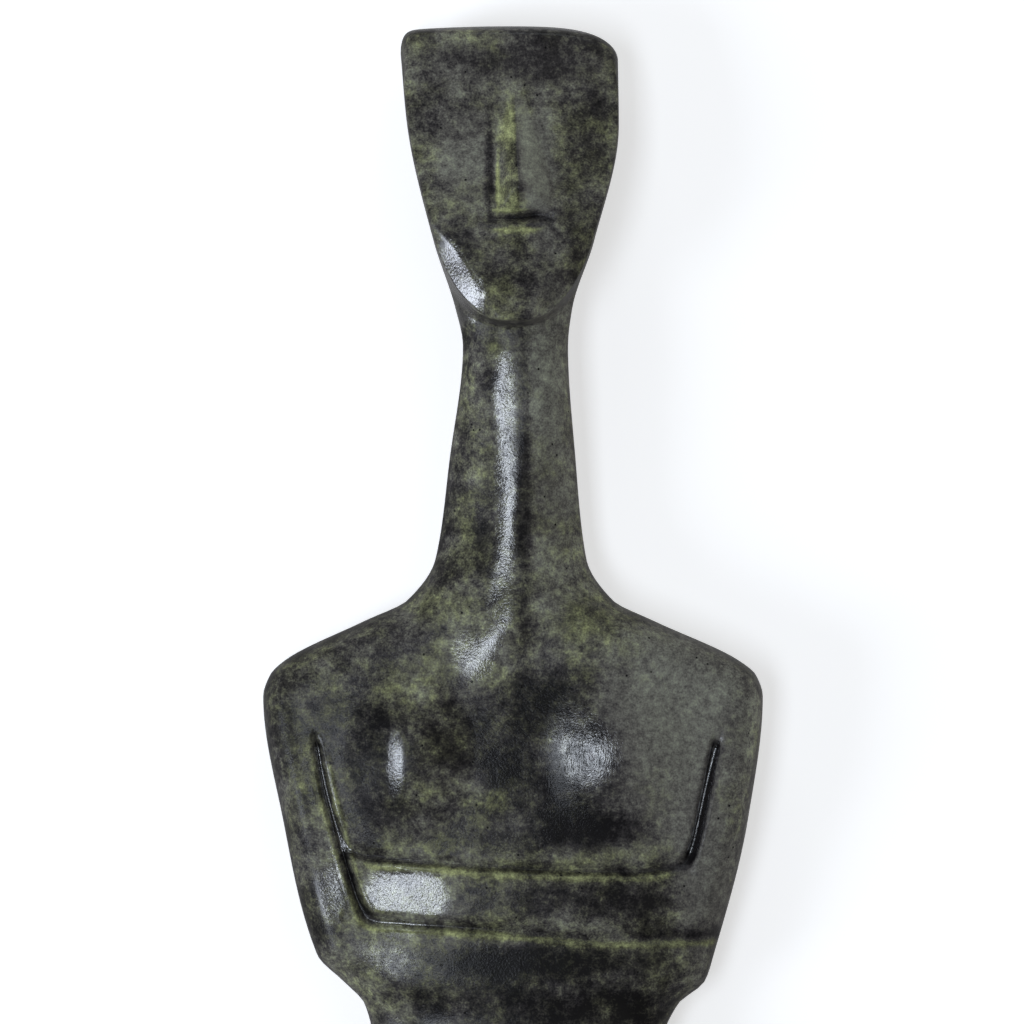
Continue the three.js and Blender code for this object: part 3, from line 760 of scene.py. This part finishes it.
class Shading:
    """Adds nodes to a material's tree. Each call returns the new node's output."""

    def __init__(self, tree):
        self.tree = tree
        self.place = self.add("TexCoord", output="Object")

    def add(self, kind, *values, output=0, **settings):
        node = self.tree.nodes.new("ShaderNode" + kind)
        for name, setting in settings.items():
            setattr(node, name, setting)
        self.fill(node, dict(enumerate(values)))
        return node.outputs[output]

    def fill(self, node, values):
        for socket, value in values.items():
            if isinstance(value, bpy.types.NodeSocket):
                self.tree.links.new(value, node.inputs[socket])
            elif value is not None:
                node.inputs[socket].default_value = value

    def attribute(self, name):
        return self.add("Attribute", output="Fac", attribute_name=name)

    def math(self, operation, *values, clamp=False):
        return self.add("Math", *values, operation=operation, use_clamp=clamp)

    def total(self, *terms):
        """The sum of (value, weight) pairs."""
        value, weight = terms[0]
        total = self.math("MULTIPLY", value, weight)
        for value, weight in terms[1:]:
            total = self.math("MULTIPLY_ADD", value, weight, total)
        return total

    def noise(self, size, detail=4, roughness=0.6, stretch=(1, 1, 1), distortion=0):
        """Noise of about -1 to 1 with lumps about size millimetres across."""
        node = self.tree.nodes.new("ShaderNodeTexNoise")
        scaled = self.add("VectorMath", self.place, stretch, operation="MULTIPLY")
        self.fill(node, {"Vector": scaled, "Scale": 1000 / size, "Detail": detail})
        self.fill(node, {"Roughness": roughness, "Distortion": distortion})
        return self.math("MULTIPLY_ADD", node.outputs["Fac"], 2.0, -1.0)

    def rise(self, value, low, high, to_low=0.0, to_high=1.0):
        """The value, carried smoothly from the first range to the second and held at its ends."""
        ranges = (low, high, to_low, to_high)
        return self.add("MapRange", value, *ranges, interpolation_type="SMOOTHSTEP")

    def ramp(self, value, stops):
        node = self.tree.nodes.new("ShaderNodeValToRGB")
        elements = node.color_ramp.elements
        while len(elements) < len(stops):
            elements.new(0.5)
        for element, (position, colour) in zip(elements, stops):
            element.position, element.color = position, colour
        self.fill(node, {0: value})
        return node.outputs[0]

    def voronoi(self, size):
        node = self.tree.nodes.new("ShaderNodeTexVoronoi")
        self.fill(node, {"Vector": self.place, "Scale": 1000 / size})
        return node.outputs["Distance"]

    def blend(self, factor, a, b):
        node = self.tree.nodes.new("ShaderNodeMix")
        node.data_type = "RGBA"
        self.fill(node, {0: factor, 6: a, 7: b})
        return node.outputs[2]

    def bump(self, height, depth, normal=None):
        """A bump of that depth in millimetres, on top of an earlier one."""
        node = self.tree.nodes.new("ShaderNodeBump")
        self.fill(node, {"Distance": depth / 1000, "Height": height, "Normal": normal})
        return node.outputs[0]


COOL_TONES = [  # share of the way up the ramp, colour
    (0.00, (0.0056, 0.0048, 0.0054, 1)),
    (0.25, (0.0385, 0.0348, 0.0345, 1)),
    (0.46, (0.1130, 0.1070, 0.0940, 1)),
    (0.62, (0.1980, 0.1980, 0.1630, 1)),
    (0.80, (0.3130, 0.3300, 0.2520, 1)),
    (1.00, (0.5450, 0.5800, 0.4100, 1)),
]
WARM_TONES = [
    (0.00, (0.0056, 0.0054, 0.0042, 1)),
    (0.25, (0.0400, 0.0390, 0.0240, 1)),
    (0.46, (0.1180, 0.1200, 0.0660, 1)),
    (0.62, (0.2150, 0.2260, 0.1120, 1)),
    (0.80, (0.3550, 0.3800, 0.1800, 1)),
    (1.00, (0.6200, 0.6700, 0.3000, 1)),
]
PIT_COLOUR = (0.004, 0.004, 0.004, 1)
BASE_TONE = 0.42

# Sizes of the patina's marks, in millimetres.
CLOUD, TINT, MOTTLE, CRACK, VEIN, SPECKLE, SCRATCH, GRAIN = 12, 5.0, 3.0, 3.4, 2.6, 0.9, 0.4, 0.24
PIT_SPACING = 2.2
PIT_FLOOR, PIT_RIM = 0.04, 0.08  # in the distances that the pits' texture gives
SCRATCH_STRETCH = (1, 0.2, 1)

# How deep each kind of mark is as a bump, in millimetres.
MOTTLE_BUMP, SPECKLE_BUMP, GRAIN_BUMP, SCRATCH_BUMP, PIT_BUMP = 0.012, 0.01, 0.017, 0.03, -0.08

BRONZE_IOR, WAX_IOR, WAX_ROUGHNESS = 1.2, 2.0, 0.17


def patina_tone(make, where, marks):
    """Dark metal is 0. Paler corrosion lies over it in clouds, specks and veins, up to 1."""
    vein_noise = make.noise(VEIN, 2, 0.5, distortion=0.6)
    vein = make.rise(make.math("ABSOLUTE", vein_noise), 0.0, 0.08, 1.0, 0.0)
    clouds = make.total((marks["cloud"], 0.42), (marks["mottle"], 0.42))
    clouds = make.math("MULTIPLY", clouds, make.rise(where["even"], 0.0, 1.4, 1.0, 0.2))
    # the dark and even fields hold painted shade and painted sheen as well as patina
    zone = make.total(
        (where["dark"], -0.36),
        (where["olive"], 0.16),
        (where["even"], 0.05),
        (where["hollow"], 0.3),
    )
    specks = make.total((marks["speckle"], 0.46), (marks["grain"], 0.34), (vein, 0.06))
    specks = make.math("MULTIPLY", specks, make.rise(where["even"], 0.0, 1.4, 1.0, 0.7))
    tone = make.math("ADD", make.math("ADD", clouds, zone), specks)
    return make.math("ADD", tone, BASE_TONE)


def patina_colour(make, where, marks, tone):
    """The tone's colour, from brown-grey to olive green."""
    tint = make.noise(TINT, 4, 0.6)
    warmth = make.total(
        (tint, 1.1),
        (where["olive"], 0.8),
        (marks["speckle"], 0.7),
        (where["even"], -0.5),
    )
    warmth = make.rise(warmth, -0.55, 0.75)
    return make.blend(warmth, make.ramp(tone, COOL_TONES), make.ramp(tone, WARM_TONES))


def wax_coat(make, where, marks, tone):
    """Handling and wax polished the high places. The wax is broken by grain and fine cracks."""
    crack = make.noise(CRACK, 4, 0.6, distortion=0.8)
    crack = make.rise(make.math("ABSOLUTE", crack), 0.0, 0.035, 1.0, 0.0)
    polished = where["polished"]
    wear = make.total(
        (polished, 1.0),
        (marks["speckle"], 0.55),
        (marks["mottle"], 0.5),
        (tone, -0.15),
    )
    wax = make.total((make.rise(wear, 0.1, 0.7), 1.0), (polished, 1.0))
    wax = make.math("MULTIPLY", wax, make.rise(polished, 0.0, 0.3))
    wax = make.math("MULTIPLY", wax, make.math("MULTIPLY_ADD", marks["grain"], 0.5, 0.7))
    wax = make.math("MULTIPLY", wax, make.math("MULTIPLY_ADD", crack, -0.8, 1.0))
    return make.math("ADD", wax, make.rise(tone, 0.2, 0.6, 0.08, 0.03), clamp=True)


def patina_bumps(make, where, marks, pit):
    scratches = make.noise(SCRATCH, 2, 0.6, stretch=SCRATCH_STRETCH)
    scratches = make.math("MULTIPLY", scratches, where["filed"])
    normal = make.bump(marks["mottle"], MOTTLE_BUMP)
    normal = make.bump(marks["speckle"], SPECKLE_BUMP, normal)
    normal = make.bump(marks["grain"], GRAIN_BUMP, normal)
    normal = make.bump(scratches, SCRATCH_BUMP, normal)
    return make.bump(pit, PIT_BUMP, normal)


def bronze_patina():
    material = bpy.data.materials.new("bronze_patina")
    material.use_nodes = True
    make = Shading(material.node_tree)
    names = ("hollow", "dark", "olive", "even", "polished", "filed")
    where = {name: make.attribute(name) for name in names}
    marks = {
        "cloud": make.noise(CLOUD, 4, 0.6),
        "mottle": make.noise(MOTTLE, 6, 0.66, distortion=0.4),
        "speckle": make.noise(SPECKLE, 4, 0.62),
        "grain": make.noise(GRAIN, 2, 0.6),
    }
    tone = patina_tone(make, where, marks)
    pit = make.rise(make.voronoi(PIT_SPACING), PIT_FLOOR, PIT_RIM, 1.0, 0.0)
    colour = make.blend(pit, patina_colour(make, where, marks, tone), PIT_COLOUR)
    roughness = make.total((tone, 0.6), (marks["speckle"], 0.2))
    roughness = make.rise(roughness, 0.0, 0.6, 0.45, 0.9)
    normal = patina_bumps(make, where, marks, pit)
    wax = wax_coat(make, where, marks, tone)
    shader = material.node_tree.nodes["Principled BSDF"]
    make.fill(shader, {"IOR": BRONZE_IOR, "Coat IOR": WAX_IOR, "Coat Roughness": WAX_ROUGHNESS})
    make.fill(shader, {"Base Color": colour, "Roughness": roughness, "Normal": normal})
    make.fill(shader, {"Coat Weight": wax, "Coat Normal": normal})
    return material


figurine.data.materials.append(bronze_patina())

# ---------------------------------------------------------------- floor, light and camera

FLOOR_REACH = 40.0
FLOOR_GLOW = 0.55

# What the camera sees: the crown to the waist, from straight above.
LENS, SENSOR_WIDTH = 300, 36
FIELD = 0.12288  # width of the view at the height of the outline
OUTLINE_HEIGHT = 0.007
CAMERA_X, CAMERA_Y = -0.00012, 0.0646


def paper():
    material = bpy.data.materials.new("paper")
    material.use_nodes = True
    inputs = material.node_tree.nodes["Principled BSDF"].inputs
    inputs["Base Color"].default_value = (0.8, 0.8, 0.8, 1)
    inputs["Roughness"].default_value = 0.9
    inputs["Emission Color"].default_value = (1, 1, 1, 1)
    inputs["Emission Strength"].default_value = FLOOR_GLOW
    return material


def pale_floor():
    signs = ((-1, -1), (1, -1), (1, 1), (-1, 1))
    corners = [(FLOOR_REACH * across, FLOOR_REACH * along, 0) for across, along in signs]
    mesh = bpy.data.meshes.new("floor")
    mesh.from_pydata(corners, [], [(0, 1, 2, 3)])
    mesh.materials.append(paper())
    floor = bpy.data.objects.new("floor", mesh)
    bpy.context.scene.collection.objects.link(floor)
    floor.visible_glossy = False


def sky(at_horizon, overhead, colour):
    """A plain sky whose light fades from the horizon up."""
    world = bpy.data.worlds.new("world")
    bpy.context.scene.world = world
    world.use_nodes = True
    nodes, links = world.node_tree.nodes, world.node_tree.links
    direction = nodes.new("ShaderNodeTexCoord")
    split = nodes.new("ShaderNodeSeparateXYZ")
    fade = nodes.new("ShaderNodeMapRange")
    for socket, value in zip(fade.inputs[1:], (0.0, 0.8, at_horizon, overhead)):
        socket.default_value = value
    links.new(direction.outputs["Generated"], split.inputs[0])
    links.new(split.outputs["Z"], fade.inputs[0])
    links.new(fade.outputs[0], nodes["Background"].inputs["Strength"])
    nodes["Background"].inputs["Color"].default_value = colour


def softbox(name, place, target, size, radiance, colour):
    """A rectangular area light of that radiance, facing target."""
    width, height = size
    data = bpy.data.lights.new(name, "AREA")
    data.shape = "RECTANGLE"
    data.size, data.size_y = width, height
    data.energy = radiance * math.pi * width * height
    data.color = colour
    light = bpy.data.objects.new(name, data)
    light.location = place
    light.rotation_mode = "QUATERNION"
    light.rotation_quaternion = (Vector(target) - Vector(place)).to_track_quat("-Z", "Y")
    bpy.context.scene.collection.objects.link(light)


def camera_from_above():
    data = bpy.data.cameras.new("camera")
    data.lens = LENS
    data.sensor_width = SENSOR_WIDTH
    data.clip_start, data.clip_end = 0.05, 50
    camera = bpy.data.objects.new("camera", data)
    camera.location = (CAMERA_X, CAMERA_Y, OUTLINE_HEIGHT + FIELD * LENS / SENSOR_WIDTH)
    camera.rotation_euler = (0, 0, 0)
    bpy.context.scene.collection.objects.link(camera)
    bpy.context.scene.camera = camera


pale_floor()
sky(at_horizon=0.3, overhead=0.03, colour=(0.97, 0.98, 1, 1))
CHEST, HEAD = (0, 0.05, 0.01), (0, 0.1, 0.01)
softbox("key", (-0.4, -0.1, 1.4), (-0.4, -0.1, 0), (0.36, 0.7), 8.2, (0.83, 0.9, 1))
softbox("fill", (1.37, 0.35, 1.4), (1.37, 0.35, 0), (2.1, 2.6), 0.35, (1, 0.98, 0.95))
softbox("low_left", (-1.06, -0.33, 0.62), HEAD, (0.45, 0.6), 9.2, (0.82, 0.88, 1))
softbox("top", (0.0, 1.5, 0.9), CHEST, (1.3, 0.6), 2.0, (0.88, 0.95, 1))
camera_from_above()

scene = bpy.context.scene
scene.view_settings.view_transform = "Standard"
scene.view_settings.look = "None"
